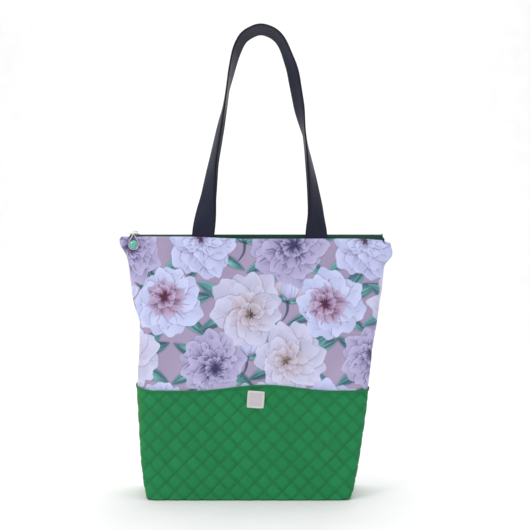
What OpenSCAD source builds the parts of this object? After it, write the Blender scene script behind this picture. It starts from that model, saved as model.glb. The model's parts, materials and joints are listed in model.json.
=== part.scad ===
// Zipped knitting tote with a printed upper, a quilted lower and two twisted strap handles.
// Millimetres. +Z up, +X to the wearer's right of the front view, front towards -Y.
// Origin: middle of the base, on the surface the bag stands on.

/* [Bag body] */
// Width of the boxed base
base_width = 290; // [240:1:300]
// Depth of the boxed base
base_depth = 110; // [80:1:130]
// Full width across the corner ears at the zip
top_width = 412; // [395:1:420]
// Distance between the outsides of the two top edges
top_depth = 30; // [28:1:40]
// Height of the top edges above the floor
body_height = 380; // [340:1:420]
// Radius of the soft edge round the base
base_round = 8; // [3:0.5:10]

/* [Panels] */
// Thickness of the printed canvas
print_thickness = 1.2; // [0.8:0.1:2]
// Thickness of the quilted faux leather with its wadding
quilt_thickness = 3; // [2:0.1:4]
// Thickness of the lining cloth
lining_thickness = 0.8; // [0.4:0.1:1]
// Height of the curved seam between quilt and print, at the sides
seam_height = 157; // [120:1:200]
// How far that seam rises towards the middle
seam_rise = 8; // [0:0.5:15]
// Thickness of the stiffening board in the base
board_thickness = 2; // [1:0.1:3]
// Side of the square label
label_side = 26; // [18:1:40]

/* [Handles] */
// Width of the strap
strap_width = 32; // [25:0.5:36]
// Thickness of the strap
strap_thickness = 3; // [2:0.1:3.4]
// Distance between the two ends of one handle, centre to centre
strap_spacing = 170; // [140:1:180]
// Height of the handle's top above the top edge
handle_rise = 306; // [250:1:330]
// How far each leg is twisted by the time it reaches the top
leg_twist = 117; // [90:1:120]
// How deep each strap end is sewn into the top seam
tail_depth = 24; // [15:1:40]

/* [Zip] */
// Length of the zip between its two ends
zip_length = 384; // [378:1:388]
// Where each hinged half of the zip stops, from the middle
flap_reach = 160; // [140:1:165]
// How far the slider is from the middle when it is parked at an end
slider_park = 181; // [176:1:181]
// Thickness of the zip tape
tape_thickness = 0.7; // [0.5:0.1:0.8]

/* [Pendant] */
// Length of the wire link, centre to centre
link_length = 18.8; // [18:0.1:22]
// Width of the teardrop frame
drop_width = 16; // [12:0.5:18]
// Diameter of the faceted stone
gem_diameter = 10.4; // [8:0.2:11]

/* [Hidden] */
$fn = 48;

// Columns of a half shell, on each side of its middle
side_columns = 12;
columns = 2 * side_columns;
gap = 0.3;
board_base = quilt_thickness + gap;
lining_base = board_base + board_thickness + 2 * gap;
lining_inset = quilt_thickness + 1.2;

// Side outline of the bag: half its width at each height
half_width_at = [[0, base_width / 2], [20, base_width / 2 + 8], [60, base_width / 2 + 16],
                 [125, base_width / 2 + 24], [215, base_width / 2 + 31], [258, base_width / 2 + 33.5],
                 [304, top_width / 2 - 17], [340, top_width / 2 - 10.5], [352, top_width / 2 - 7],
                 [361, top_width / 2 - 1.5], [372, top_width / 2], [380, top_width / 2 - 2]];
// Squareness of the plan: high is a rounded box, low is a lens
squareness_at = [[0, 7], [170, 5], [380, 3.2]];

function profile_z(z) = z * 380 / body_height;
function base_pull(z) = z >= base_round ? 0 : base_round - sqrt(pow(base_round, 2) - pow(base_round - z, 2));
function half_width(z) = lookup(profile_z(z), half_width_at) - base_pull(z);
function half_depth(z) = top_depth / 2
    + (base_depth - top_depth) / 2 * pow(max(0, 1 - z / body_height), 1.15) - base_pull(z);

// One point of the skin: column i, height z, set in from the outside by inset
function skin(i, z, inset) =
    let (x = sin(90 * (i - side_columns) / side_columns), n = lookup(profile_z(z), squareness_at))
    [(half_width(z) - inset) * x, -(half_depth(z) - inset) * pow(max(0, 1 - pow(abs(x), n)), 1 / n), z];

// The seam between quilt and print, as a height for each column
function seam(i) = seam_height + seam_rise * pow(cos(90 * (i - side_columns) / side_columns), 2);
flat_low = [for (i = [0:columns]) 0];
seam_line = [for (i = [0:columns]) seam(i)];
top_line = [for (i = [0:columns]) body_height];
lining_top = [for (i = [0:columns]) body_height - 1];

// The front half of a shell that follows the bag's skin between two lines.
// floor_thickness above 0 closes it at the bottom, as far as the seam under the bag.
module half_shell(low, high, inset, thickness, rows, floor_thickness = 0) {
    wide = columns + 1;
    sheet = wide * (rows + 1);
    function row_z(i, r, lift) = low[i] + lift + (high[i] - low[i] - lift) * pow(r / rows, 1.4);
    outer = [for (r = [0:rows]) for (i = [0:columns]) skin(i, row_z(i, r, 0), inset)];
    inner = [for (r = [0:rows]) for (i = [0:columns])
             skin(i, row_z(i, r, floor_thickness), inset + thickness)];
    middle = [[0, 0, low[0]], [0, 0, low[0] + floor_thickness]];
    walls = [for (r = [0:rows - 1]) for (i = [0:columns - 1])
             let (a = r * wide + i) each [[a, a + 1, a + wide + 1], [a, a + wide + 1, a + wide]]];
    back = [for (f = walls) [f[2] + sheet, f[1] + sheet, f[0] + sheet]];
    rim = [for (i = [0:columns - 1]) let (a = rows * wide + i)
           each [[a, a + 1, a + 1 + sheet], [a, a + 1 + sheet, a + sheet]]];
    left_edge = [for (r = [0:rows - 1]) let (a = r * wide)
                 each [[a, a + wide, a + wide + sheet], [a, a + wide + sheet, a + sheet]]];
    right_edge = [for (r = [0:rows - 1]) let (a = r * wide + columns)
                  each [[a + wide, a, a + sheet], [a + wide, a + sheet, a + wide + sheet]]];
    bottom_rim = [for (i = [0:columns - 1]) each [[i + 1, i, i + sheet], [i + 1, i + sheet, i + 1 + sheet]]];
    c = 2 * sheet;
    bottom = concat(
        [for (i = [0:columns - 1]) [c, i + 1, i]],
        [for (i = [0:columns - 1]) [c + 1, i + sheet, i + 1 + sheet]],
        [[c, 0, sheet], [c, sheet, c + 1], [columns, c, c + 1], [columns, c + 1, columns + sheet]]);
    faces = concat(walls, back, rim, left_edge, right_edge, floor_thickness > 0 ? bottom : bottom_rim);
    polyhedron(points = floor_thickness > 0 ? concat(outer, inner, middle) : concat(outer, inner),
               faces = [for (f = faces) [f[2], f[1], f[0]]]);
}

module to_back() { mirror([0, 1, 0]) children(); }

module quilted_half() {
    color("seagreen") half_shell(flat_low, seam_line, 0, quilt_thickness, 10, quilt_thickness);
}
module quilted_panel_front() { quilted_half(); }
module quilted_panel_back() { to_back() quilted_half(); }

module print_half() {
    color("thistle") half_shell(seam_line, top_line, 0.8, print_thickness, 12);
}
module print_panel_front() { print_half(); }
module print_panel_back() { to_back() print_half(); }

module lining_half() {
    low = [for (i = [0:columns]) lining_base];
    color("darkseagreen")
        half_shell(low, lining_top, lining_inset, lining_thickness, 14, lining_thickness);
}
module lining_front() { lining_half(); }
module lining_back() { to_back() lining_half(); }

module base_board() {
    clear = base_round + quilt_thickness + 2;
    color("dimgray") translate([0, 0, board_base]) linear_extrude(board_thickness)
        square([base_width - 2 * clear, base_depth - 2 * clear], center = true);
}

module label() {
    middle_z = seam_height - 13.3;
    lean = atan((half_depth(middle_z - 10) - half_depth(middle_z + 10)) / 20);
    color("mistyrose") translate([0, -half_depth(middle_z) - 0.8, middle_z]) rotate([-lean, 0, 0])
        cube([label_side, 0.9, label_side], center = true);
}

// ---- handles ----
strap_y = top_depth / 2 - print_thickness - 0.8 - gap - strap_thickness / 2;
apex_y = strap_width / 2 + 1.5;
strap_low = body_height + 1;
rigid_from = 13;
strap_steps = 40;

function bezier(a, b, c, d, t) = pow(1 - t, 3) * a + 3 * pow(1 - t, 2) * t * b
    + 3 * (1 - t) * t * t * c + t * t * t * d;
// The centre line of the left leg: s is 0 at the top seam and 1 at the top of the loop
function leg_x(s) = bezier(strap_spacing / 2, strap_spacing / 2 - 4, strap_spacing * 0.30, 0, s);
function leg_z(s) = strap_low + bezier(0, handle_rise * 0.42, handle_rise, handle_rise, s);
function leg_y(s) = strap_y + (apex_y - strap_y) * sin(90 * min(1, 2 * s));
function leg_angle(s) = leg_twist * pow(max(0, leg_z(s) - strap_low) / handle_rise, 0.65);
// One ring of the strap: its centre, then its width and thickness directions
function leg_centre(s) = [-leg_x(s), -leg_y(s), leg_z(s)];
function leg_heading(s) = let (d = leg_centre(min(1, s + 0.01)) - leg_centre(max(0, s - 0.01)),
    flat = [d[0], 0, s == 1 ? 0 : d[2]]) flat / norm(flat);
function leg_across(s) = let (t = leg_heading(s), n = cross(t, [0, 1, 0]), a = leg_angle(s))
    cos(a) * n + sin(a) * [0, 1, 0];
function leg_ring(s) = let (c = leg_centre(s), w = leg_across(s), n = cross(leg_heading(s), w))
    [for (k = [[-1, -1], [1, -1], [1, 1], [-1, 1]])
     c + k[0] * w * strap_width / 2 + k[1] * n * strap_thickness / 2];
function to_right(ring) = [for (k = [0, 1, 2, 3]) [-ring[k][0], ring[k][1], ring[k][2]]];

module handle_loop() {
    start = leg_start();
    left = [for (k = [0:strap_steps]) leg_ring(start + (1 - start) * k / strap_steps)];
    right = [for (k = [strap_steps - 1:-1:0]) to_right(left[k])];
    rings = concat(left, right);
    last = len(rings) - 1;
    sides = [for (r = [0:last - 1]) for (k = [0:3])
             let (a = 4 * r + k, b = 4 * r + (k + 1) % 4) each [[a, b, b + 4], [a, b + 4, a + 4]]];
    ends = [[0, 2, 1], [0, 3, 2], [4 * last, 4 * last + 1, 4 * last + 2], [4 * last, 4 * last + 2, 4 * last + 3]];
    polyhedron(points = [for (r = rings) each r], faces = [for (f = concat(sides, ends)) [f[2], f[1], f[0]]]);
}
// The first leg station that is clear of the soft fold at the seam
function leg_start(s = 0) = leg_z(s) >= body_height + rigid_from ? s : leg_start(s + 0.002);

module handle_front() { color("midnightblue") handle_loop(); }
module handle_back() { color("midnightblue") to_back() handle_loop(); }

// The flattened strap ends, sewn in between print and lining
module handle_tails() {
    middle_z = body_height - 1 - tail_depth / 2;
    lean = atan((half_depth(middle_z - 10) - half_depth(middle_z + 10)) / 20);
    color("midnightblue") for (side = [-1, 1])
        translate([side * strap_spacing / 2, 0.8 + print_thickness + 1.1 - half_depth(middle_z), middle_z])
            rotate([-lean, 0, 0]) cube([strap_width, 0.6, tail_depth], center = true);
}
module handle_ends_front() { handle_tails(); }
module handle_ends_back() { to_back() handle_tails(); }

// ---- zip ----
tooth_low = body_height + 3.7;
tooth_high = body_height + 6.1;
tooth_inner = 0.6;
tooth_outer = 3;
tape_low = body_height + 4.5;
tape_flat = 4.9;
tape_edge = 9.3;
hem_z = body_height + 0.4;

module along_zip(from, to) {
    translate([from, 0, 0]) rotate([90, 0, 90]) linear_extrude(to - from) children();
}
module tape_section() {
    t = tape_thickness;
    polygon([[-tooth_outer, tape_low], [-tooth_outer, tape_low + t], [-tape_flat, tape_low + t],
             [-tape_edge, hem_z + t], [-tape_edge, hem_z], [-tape_flat, tape_low]]);
}
module tooth_section() {
    polygon([[-tooth_outer, tooth_low], [-tooth_inner, tooth_low], [-tooth_inner, tooth_high],
             [-tooth_outer, tooth_high]]);
}
module zip_tape_front() { color("darkgreen") along_zip(-flap_reach + gap, flap_reach - gap) tape_section(); }
module zip_tape_back() { to_back() zip_tape_front(); }
module zip_teeth_front() { color("green") along_zip(-flap_reach + gap, flap_reach - gap) tooth_section(); }
module zip_teeth_back() { to_back() zip_teeth_front(); }

// The sewn-down end of the zip, which the parked slider sits on
module zip_end() {
    color("darkgreen") {
        for (m = [0, 1]) mirror([0, m, 0]) along_zip(flap_reach, zip_length / 2) {
            tooth_section();
            polygon([[-tooth_outer, tape_low], [-tooth_outer, tape_low + tape_thickness],
                     [-tape_flat, tape_low + tape_thickness], [-tape_flat, tape_low]]);
        }
        along_zip(zip_length / 2 - 1.2, zip_length / 2)
            translate([0, tape_low + tape_thickness / 2]) square([2 * tape_flat, tape_thickness], center = true);
    }
}
module zip_end_left() { mirror([1, 0, 0]) zip_end(); }
module zip_end_right() { zip_end(); }

// Metal crimps round the chain beyond the parked slider
module crimp(x, half) {
    along_zip(x, x + 3) difference() {
        translate([0, (tooth_low + tooth_high) / 2]) square([2 * half, tooth_high - tooth_low + 1.6], center = true);
        for (m = [0, 1]) mirror([m, 0])
            translate([-half - 1, tooth_low - 0.1])
                square([half + 1 - tooth_inner + 0.1, tooth_high - tooth_low + 0.2]);
    }
}
module zip_top_stops() {
    color("silver") for (m = [0, 1]) mirror([0, m, 0]) along_zip(-slider_park - 10, -slider_park - 7)
        translate([-1.9, tooth_high + 0.5]) square([2, 0.8], center = true);
}
module zip_bottom_stop() { color("silver") crimp(slider_park + 6.4, 3.2); }

// ---- slider, link and pendant ----
plate_half = 4.6;
crown_half = 3.9;
slider_half = 6;
slot_gap = 0.3;
top_plate = tooth_high + slot_gap;
bar_z = body_height + 10.8;
bar_radius = 0.6;
wire_radius = 0.5;
bend_radius = 1.6;
drop_z = body_height + 6.4;
link_lean = asin((bar_z - drop_z) / link_length);
drop_y = -link_length * cos(link_lean);
drop_height = 25;
frame_bar = 0.9;

module zip_slider() {
    color("silver") translate([-slider_park, 0, 0]) {
        // Upper plate, with a lip down each side
        along_zip(-slider_half, slider_half)
            polygon([[-plate_half, top_plate - 0.7], [-plate_half + 1.1, top_plate - 0.7],
                     [-plate_half + 1.1, top_plate], [plate_half - 1.1, top_plate],
                     [plate_half - 1.1, top_plate - 0.7], [plate_half, top_plate - 0.7],
                     [crown_half, top_plate + 1], [-crown_half, top_plate + 1]]);
        // Lower plate
        along_zip(-slider_half, slider_half)
            translate([0, tooth_low - slot_gap - 0.6]) square([2 * crown_half, 1.2], center = true);
        // The wedge at the nose that parts the two rows of teeth
        translate([-slider_half, -0.35, tooth_low - slot_gap - 0.6]) cube([2, 0.7, top_plate - tooth_low + 1.6]);
        // The bridge that holds the link
        for (x = [-3.4, 2.2]) translate([x, -1, top_plate + 0.8]) cube([1.2, 2, bar_z - top_plate - 0.2]);
        translate([-3.4, 0, bar_z]) rotate([0, 90, 0]) cylinder(r = bar_radius, h = 6.8);
    }
}

// A loop of wire round two parallel bars, lying along -Y from the first
module pull_link() {
    color("silver") translate([-slider_park, 0, bar_z]) rotate([link_lean, 0, 0]) rotate([0, 90, 0]) {
        for (z = [-bend_radius, bend_radius]) translate([z, 0, 0]) rotate([90, 0, 0])
            cylinder(r = wire_radius, h = link_length, $fn = 24);
        rotate_extrude(angle = 180, $fn = 48) translate([bend_radius, 0]) circle(r = wire_radius, $fn = 24);
        translate([0, -link_length, 0]) rotate([0, 0, 180])
            rotate_extrude(angle = 180, $fn = 48) translate([bend_radius, 0]) circle(r = wire_radius, $fn = 24);
    }
}

module at_pendant() { translate([-slider_park, drop_y, drop_z]) children(); }

// Half outline of the teardrop below its hinge bar, at a distance along it
module drop_outline(grow) {
    round_r = drop_width / 2 + grow;
    hull() {
        translate([0, -drop_height + drop_width / 2 + frame_bar]) circle(r = round_r, $fn = 48);
        translate([0, -2]) circle(r = 3.2 + grow, $fn = 32);
    }
}
module pendant_frame() {
    color("silver") at_pendant() {
        difference() {
            rotate([90, 0, 0]) linear_extrude(1.8, center = true) difference() {
                drop_outline(0);
                drop_outline(-1.8);
            }
            translate([-1.5, -2, -1.3]) cube([3, 4, 4]);
        }
        rotate([0, 90, 0]) translate([0, 0, -2.2]) cylinder(r = frame_bar, h = 4.4, $fn = 32);
    }
}
gem_z = -drop_height + drop_width / 2 + frame_bar;
module pendant_bezel() {
    ring_r = gem_diameter / 2 + 0.9;
    color("silver") at_pendant() translate([0, 0, gem_z]) rotate([90, 0, 0]) difference() {
        cylinder(r = ring_r, h = 2.6, center = true);
        translate([0, 0, -0.5]) cylinder(r = gem_diameter / 2 + 0.05, h = 4);
    }
}
module pendant_gem() {
    color("turquoise") at_pendant() translate([0, -0.5, gem_z]) rotate([90, 0, 0])
        rotate_extrude() polygon([[0, 0.05], [gem_diameter / 2, 0.05], [gem_diameter / 2, 1.1],
                                  [gem_diameter * 0.33, 3], [0, 3.4]]);
}

quilted_panel_front();
quilted_panel_back();
print_panel_front();
print_panel_back();
lining_front();
lining_back();
base_board();
label();
handle_ends_front();
handle_ends_back();
handle_front();
handle_back();
zip_tape_front();
zip_tape_back();
zip_teeth_front();
zip_teeth_back();
zip_end_left();
zip_end_right();
zip_top_stops();
zip_bottom_stop();
zip_slider();
pull_link();
pendant_frame();
pendant_bezel();
pendant_gem();
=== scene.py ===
"""A zipped knitting bag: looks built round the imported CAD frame.

All lengths are metres in the frame's own axes: +Z up, +X to the right of the front view, front towards -Y.
"""
import json
import math
import bmesh
import bpy
import numpy as np
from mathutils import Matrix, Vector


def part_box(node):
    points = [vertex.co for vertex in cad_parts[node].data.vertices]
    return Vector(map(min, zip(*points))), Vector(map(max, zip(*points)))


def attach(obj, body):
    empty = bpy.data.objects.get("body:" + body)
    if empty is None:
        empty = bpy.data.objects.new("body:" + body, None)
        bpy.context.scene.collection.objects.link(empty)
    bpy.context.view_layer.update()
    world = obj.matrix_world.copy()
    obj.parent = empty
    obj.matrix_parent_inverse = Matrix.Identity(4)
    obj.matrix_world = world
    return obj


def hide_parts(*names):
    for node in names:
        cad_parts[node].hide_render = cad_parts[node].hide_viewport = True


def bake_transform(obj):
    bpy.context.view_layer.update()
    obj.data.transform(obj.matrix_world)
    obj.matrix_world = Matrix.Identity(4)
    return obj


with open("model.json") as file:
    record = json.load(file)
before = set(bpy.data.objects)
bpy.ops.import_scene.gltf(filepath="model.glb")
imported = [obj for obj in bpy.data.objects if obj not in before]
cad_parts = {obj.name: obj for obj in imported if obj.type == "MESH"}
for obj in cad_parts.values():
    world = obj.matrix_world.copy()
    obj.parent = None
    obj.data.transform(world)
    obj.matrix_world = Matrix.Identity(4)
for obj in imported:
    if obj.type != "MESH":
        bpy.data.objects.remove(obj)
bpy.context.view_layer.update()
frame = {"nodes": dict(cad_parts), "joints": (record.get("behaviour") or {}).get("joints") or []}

MM = 0.001
JOINTS = {j["name"]: j for j in frame["joints"]}
PRINT_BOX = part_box("print_panel_front")
QUILT_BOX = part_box("quilted_panel_front")
TOP_Z = PRINT_BOX[1].z
BASE_Y = -QUILT_BOX[0].y
FRONT, BACK = -1, 1
SIDE_NAME = {FRONT: "front", BACK: "back"}

# ---- camera, light and floor

CAMERA_DISTANCE = 1.4
SEEN_WIDTH = 0.795
CAMERA_HEIGHT = 0.340
CAMERA_X = 0.0135


def area_light(name, place, target, size, power, colour):
    """A soft square lamp at place, facing target."""
    lamp = bpy.data.lights.new(name, "AREA")
    lamp.size = size
    lamp.energy = power
    lamp.color = colour
    obj = bpy.data.objects.new(name, lamp)
    bpy.context.scene.collection.objects.link(obj)
    obj.location = place
    x, y, z = np.subtract(target, place)
    obj.rotation_euler = (math.pi / 2 + math.atan2(z, math.hypot(x, y)), 0, math.atan2(y, x) - math.pi / 2)


def build_stage():
    """Camera at the front, soft studio light and a plain pale floor."""
    scene = bpy.context.scene
    camera = bpy.data.cameras.new("camera")
    camera.sensor_width = 36
    camera.lens = camera.sensor_width * CAMERA_DISTANCE / SEEN_WIDTH
    eye = bpy.data.objects.new("camera", camera)
    scene.collection.objects.link(eye)
    eye.location = (CAMERA_X, -CAMERA_DISTANCE, CAMERA_HEIGHT)
    eye.rotation_euler = (math.pi / 2, 0, 0)
    scene.camera = eye
    scene.view_settings.view_transform = "Standard"
    world = bpy.data.worlds.new("studio")
    world.use_nodes = True
    sky = world.node_tree.nodes["Background"].inputs
    sky["Color"].default_value = (1, 1, 1, 1)
    sky["Strength"].default_value = 0.74
    scene.world = world
    area_light("key", (-1.5, -1.5, 1.6), (0, 0, 0.25), 0.8, 17, (1, 0.99, 0.97))
    area_light("fill", (1.4, -1.4, 0.6), (0, 0, 0.3), 1.2, 2, (0.97, 0.98, 1))
    area_light("rim", (0.3, 1.6, 1.4), (0, 0, 0.4), 1.2, 6, (1, 1, 1))
    area_light("backdrop", (0, 1.0, 3.6), (0, 4.0, 0.6), 3.5, 110, (1, 1, 1))
    bend = [(2.6 + 1.8 * math.sin(a), 1.8 - 1.8 * math.cos(a)) for a in np.linspace(0, math.pi / 2, 25)]
    profile = np.array([(-6.0, 0.0)] + bend + [(4.4, 7.0)])
    sheet = np.array([[(x, y, z) for x in (-8.0, 0.0, 8.0)] for y, z in profile])
    floor = make_mesh("floor", sheet, grid_quads(len(profile), 3), floor_material())


# ---- materials


class Nodes:
    """A short way to build a node tree round one Principled shader."""

    def __init__(self, name, colour, roughness, **sockets):
        self.material = bpy.data.materials.new(name)
        self.material.use_nodes = True
        self.tree = self.material.node_tree
        self.shader = self.tree.nodes["Principled BSDF"]
        for key, value in dict(sockets, Base_Color=colour, Roughness=roughness).items():
            self.feed(self.shader.inputs[key.replace("_", " ")], value)

    def feed(self, socket, value):
        """Link an output to the socket, or set the socket's own value."""
        if hasattr(value, "is_output"):
            self.tree.links.new(value, socket)
        else:
            socket.default_value = (*value, 1) if socket.type == "RGBA" else value

    def add(self, kind, settings=None, **inputs):
        node = self.tree.nodes.new(kind)
        for key, value in (settings or {}).items():
            setattr(node, key, value)
        for key, value in inputs.items():
            self.feed(node.inputs[key.replace("_", " ")], value)
        return node

    def link(self, output, socket):
        self.tree.links.new(output, self.shader.inputs[socket])

    def attribute(self, name, output="Fac"):
        return self.add("ShaderNodeAttribute", {"attribute_name": name}).outputs[output]

    def noise(self, vector, scale, detail=3.0, roughness=0.5):
        return self.add("ShaderNodeTexNoise", Vector=vector, Scale=scale, Detail=detail,
                        Roughness=roughness).outputs["Fac"]

    def wave(self, vector, scale, distortion=0.0, direction="X"):
        return self.add("ShaderNodeTexWave", {"bands_direction": direction}, Vector=vector, Scale=scale,
                        Distortion=distortion).outputs["Fac"]

    def math(self, operation, *values):
        node = self.add("ShaderNodeMath", {"operation": operation})
        for socket, value in zip(node.inputs, values):
            self.feed(socket, value)
        return node.outputs[0]

    def ramp(self, factor, *stops):
        node = self.add("ShaderNodeValToRGB", Fac=factor)
        elements = node.color_ramp.elements
        while len(elements) < len(stops):
            elements.new(0.5)
        for element, (place, colour) in zip(elements, stops):
            element.position = place
            element.color = (*colour, 1)
        return node.outputs["Color"]

    def tone(self, factor, *stops):
        """Base colour from a ramp of (place, colour) stops."""
        self.link(self.ramp(factor, *stops), "Base Color")

    def mix(self, factor, a, b, kind="MIX"):
        node = self.add("ShaderNodeMix", {"data_type": "RGBA", "blend_type": kind})
        for socket, value in ((0, factor), (6, a), (7, b)):
            self.feed(node.inputs[socket], value)
        return node.outputs[2]

    def spread(self, factor, low, high):
        """factor from 0 to 1 mapped to low to high."""
        return self.add("ShaderNodeMapRange", Value=factor, To_Min=low, To_Max=high).outputs[0]

    def bump(self, height, distance, strength):
        """Bump of a height from 0 to 1, with its distance in millimetres."""
        node = self.add("ShaderNodeBump", Height=height, Distance=distance * MM, Strength=strength)
        self.link(node.outputs["Normal"], "Normal")

    def cloth(self):
        """Cloth coordinates in millimetres: across, along."""
        return self.attribute("cloth", "Vector")

    def place(self):
        """Position in millimetres."""
        point = self.add("ShaderNodeTexCoord").outputs["Object"]
        scaled = self.add("ShaderNodeVectorMath", {"operation": "SCALE"}, Scale=1 / MM)
        self.tree.links.new(point, scaled.inputs[0])
        return scaled.outputs[0]


def weave(n, pitch):
    """Height of a plain weave with its pitch in millimetres: two crossed sets of threads."""
    cloth = n.cloth()
    across, along = (n.wave(cloth, 0.25 / pitch, 0.4, axis) for axis in "XY")
    return n.math("MULTIPLY", n.math("ADD", across, along), 0.5)


def floor_material():
    n = Nodes("floor_paper", (0.9, 0.9, 0.9), 0.75)
    n.tone(n.noise(n.place(), 0.01, 2), (0.3, (0.78, 0.78, 0.785)), (0.7, (0.81, 0.81, 0.81)))
    return n.material


def print_material():
    """Printed canvas: the painted flowers, with thread shade and weave over them."""
    n = Nodes("printed_canvas", (0.6, 0.5, 0.6), 0.82, Sheen_Weight=0.25, Sheen_Roughness=0.5)
    threads = weave(n, 0.9)
    mottle = n.noise(n.cloth(), 0.35, 4, 0.6)
    shade = n.spread(n.math("MULTIPLY", n.math("ADD", threads, mottle), 0.5), 0.93, 1.05)
    grey = n.add("ShaderNodeCombineColor", Red=shade, Green=shade, Blue=shade).outputs[0]
    n.link(n.mix(1.0, n.attribute("paint", "Color"), grey, "MULTIPLY"), "Base Color")
    n.link(n.spread(mottle, 0.72, 0.9), "Roughness")
    n.bump(threads, 0.12, 0.6)
    return n.material


DIAMOND = 18.2  # side of one quilted diamond, in millimetres


def quilt_material():
    """Green faux leather: pebbled grain, painted shade in the stitched valleys, painted highlights on the
    pillows and painted yellow side light at the left side.
    """
    n = Nodes("quilted_leather", (0.012, 0.2, 0.06), 0.5, Specular_IOR_Level=0.22)
    cells = n.add("ShaderNodeTexVoronoi", Vector=n.cloth(), Scale=0.9).outputs["Distance"]
    # Painted shade: the stitched valleys (pillow 0) are darker than the pillow tops.
    tone = n.ramp(n.attribute("pillow"), (0.0, (0.002, 0.050, 0.016)), (0.25, (0.004, 0.150, 0.046)),
                  (1.0, (0.006, 0.200, 0.062)))
    # Painted highlight: the pillow tops of some diamonds, chosen at random, are lighter.
    tone = n.mix(n.spread(n.attribute("pillow_highlight"), 0.0, 0.4), tone, (0.009, 0.275, 0.092))
    tone = n.mix(n.spread(n.noise(n.cloth(), 0.02, 2), 0.0, 0.3), tone, (0.018, 0.165, 0.040))
    across = n.add("ShaderNodeSeparateXYZ", Vector=n.cloth()).outputs[0]
    # Painted side light: the leather turns yellower towards the left side.
    side_light = n.add("ShaderNodeMapRange", {"interpolation_type": "SMOOTHSTEP"}, Value=across, From_Min=-158.0,
                 From_Max=-190.0).outputs[0]
    tone = n.mix(n.math("MULTIPLY", side_light, 0.6), tone, (0.060, 0.230, 0.035))
    threads = quilt_threads(n)
    n.link(n.mix(n.math("MULTIPLY", threads, 0.75), tone, (0.020, 0.225, 0.088)), "Base Color")
    n.link(n.spread(n.noise(n.cloth(), 0.5, 3), 0.42, 0.6), "Roughness")
    n.bump(n.math("MULTIPLY_ADD", cells, 0.3, threads), 0.3, 0.6)
    return n.material


def quilt_threads(n):
    """1 on the short stitches along both families of quilting lines, 0 elsewhere."""
    split = n.add("ShaderNodeSeparateXYZ", Vector=n.cloth())
    across, up = split.outputs[0], split.outputs[1]
    lines = []
    for one, other in (("ADD", "SUBTRACT"), ("SUBTRACT", "ADD")):
        off = n.math("PINGPONG", n.math(one, across, up), math.sqrt(2) * DIAMOND / 2)
        dash = n.math("PINGPONG", n.math(other, across, up), 2.3)
        lines.append(n.math("MULTIPLY", n.math("LESS_THAN", off, 0.62), n.math("GREATER_THAN", dash, 0.6)))
    return n.math("MAXIMUM", *lines)


def strap_material():
    """Dark navy strap with a fine slanting grain, a painted blue sheen on the grain's ridges, and darker
    edges.
    """
    n = Nodes("strap_leather", (0.012, 0.013, 0.026), 0.42, Specular_IOR_Level=0.16)
    slant = n.add("ShaderNodeMapping", Vector=n.cloth(), Rotation=(0, 0, math.radians(38)))
    grain = n.wave(slant.outputs["Vector"], 0.095, 1.2)
    blotch = n.noise(n.cloth(), 0.12, 4, 0.6)
    tone = n.ramp(blotch, (0.3, (0.005, 0.005, 0.009)), (0.7, (0.011, 0.011, 0.020)))
    # The grain is real; the lighter blue on its ridges is a painted sheen.
    tone = n.mix(n.spread(grain, 0.0, 0.75), tone, (0.020, 0.026, 0.066))
    n.link(n.mix(n.attribute("edge"), tone, (0.005, 0.005, 0.009)), "Base Color")
    n.link(n.spread(blotch, 0.36, 0.52), "Roughness")
    n.bump(n.math("MULTIPLY_ADD", blotch, 0.6, grain), 0.4, 0.8)
    return n.material


def tape_material():
    n = Nodes("zip_tape", (0.004, 0.06, 0.03), 0.75, Specular_IOR_Level=0.2)
    rows = n.wave(n.cloth(), 0.28, 1.0, "DIAGONAL")
    n.tone(rows, (0.2, (0.001, 0.028, 0.017)), (0.8, (0.003, 0.060, 0.034)))
    n.bump(rows, 0.15, 0.7)
    return n.material


def coil_material():
    n = Nodes("zip_coil", (0.004, 0.05, 0.026), 0.38)
    mottle = n.noise(n.place(), 0.6)
    n.tone(mottle, (0.3, (0.001, 0.024, 0.015)), (0.7, (0.003, 0.048, 0.028)))
    n.link(n.spread(mottle, 0.3, 0.48), "Roughness")
    return n.material


def metal_material():
    n = Nodes("plated_metal", (0.6, 0.6, 0.62), 0.22, Metallic=1.0)
    scuff = n.noise(n.place(), 1.4, 5, 0.7)
    n.tone(scuff, (0.35, (0.46, 0.46, 0.48)), (0.65, (0.70, 0.70, 0.72)))
    n.link(n.spread(scuff, 0.12, 0.34), "Roughness")
    n.bump(scuff, 0.02, 0.4)
    return n.material


def gem_material():
    n = Nodes("faceted_stone", (0.01, 0.42, 0.30), 0.06, Coat_Weight=1.0, Coat_Roughness=0.03,
              Specular_IOR_Level=0.8)
    depth = n.noise(n.place(), 0.5, 3, 0.7)
    n.tone(depth, (0.3, (0.0, 0.20, 0.15)), (0.5, (0.01, 0.46, 0.33)), (0.72, (0.16, 0.80, 0.62)))
    n.link(n.spread(depth, 0.03, 0.12), "Roughness")
    return n.material


def label_material():
    n = Nodes("label_cloth", (0.72, 0.63, 0.61), 0.7)
    tone = n.ramp(n.noise(n.cloth(), 0.25, 4), (0.3, (0.50, 0.47, 0.50)), (0.7, (0.57, 0.54, 0.56)))
    n.link(n.mix(n.spread(n.attribute("edge"), 0.0, 0.8), tone, (0.66, 0.63, 0.65)), "Base Color")
    n.bump(weave(n, 0.8), 0.1, 0.6)
    return n.material


def lining_material():
    n = Nodes("lining_cloth", (0.5, 0.56, 0.5), 0.8, Sheen_Weight=0.15)
    n.tone(n.noise(n.cloth(), 0.05, 4), (0.3, (0.40, 0.48, 0.42)), (0.7, (0.50, 0.57, 0.50)))
    n.bump(weave(n, 0.8), 0.1, 0.5)
    return n.material


def thread_material(name, dark, light):
    n = Nodes(name, light, 0.6, Sheen_Weight=0.3)
    twist = n.wave(n.place(), 0.9, 1.5, "DIAGONAL")
    n.tone(twist, (0.2, dark), (0.8, light))
    n.bump(twist, 0.08, 0.6)
    return n.material


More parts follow.
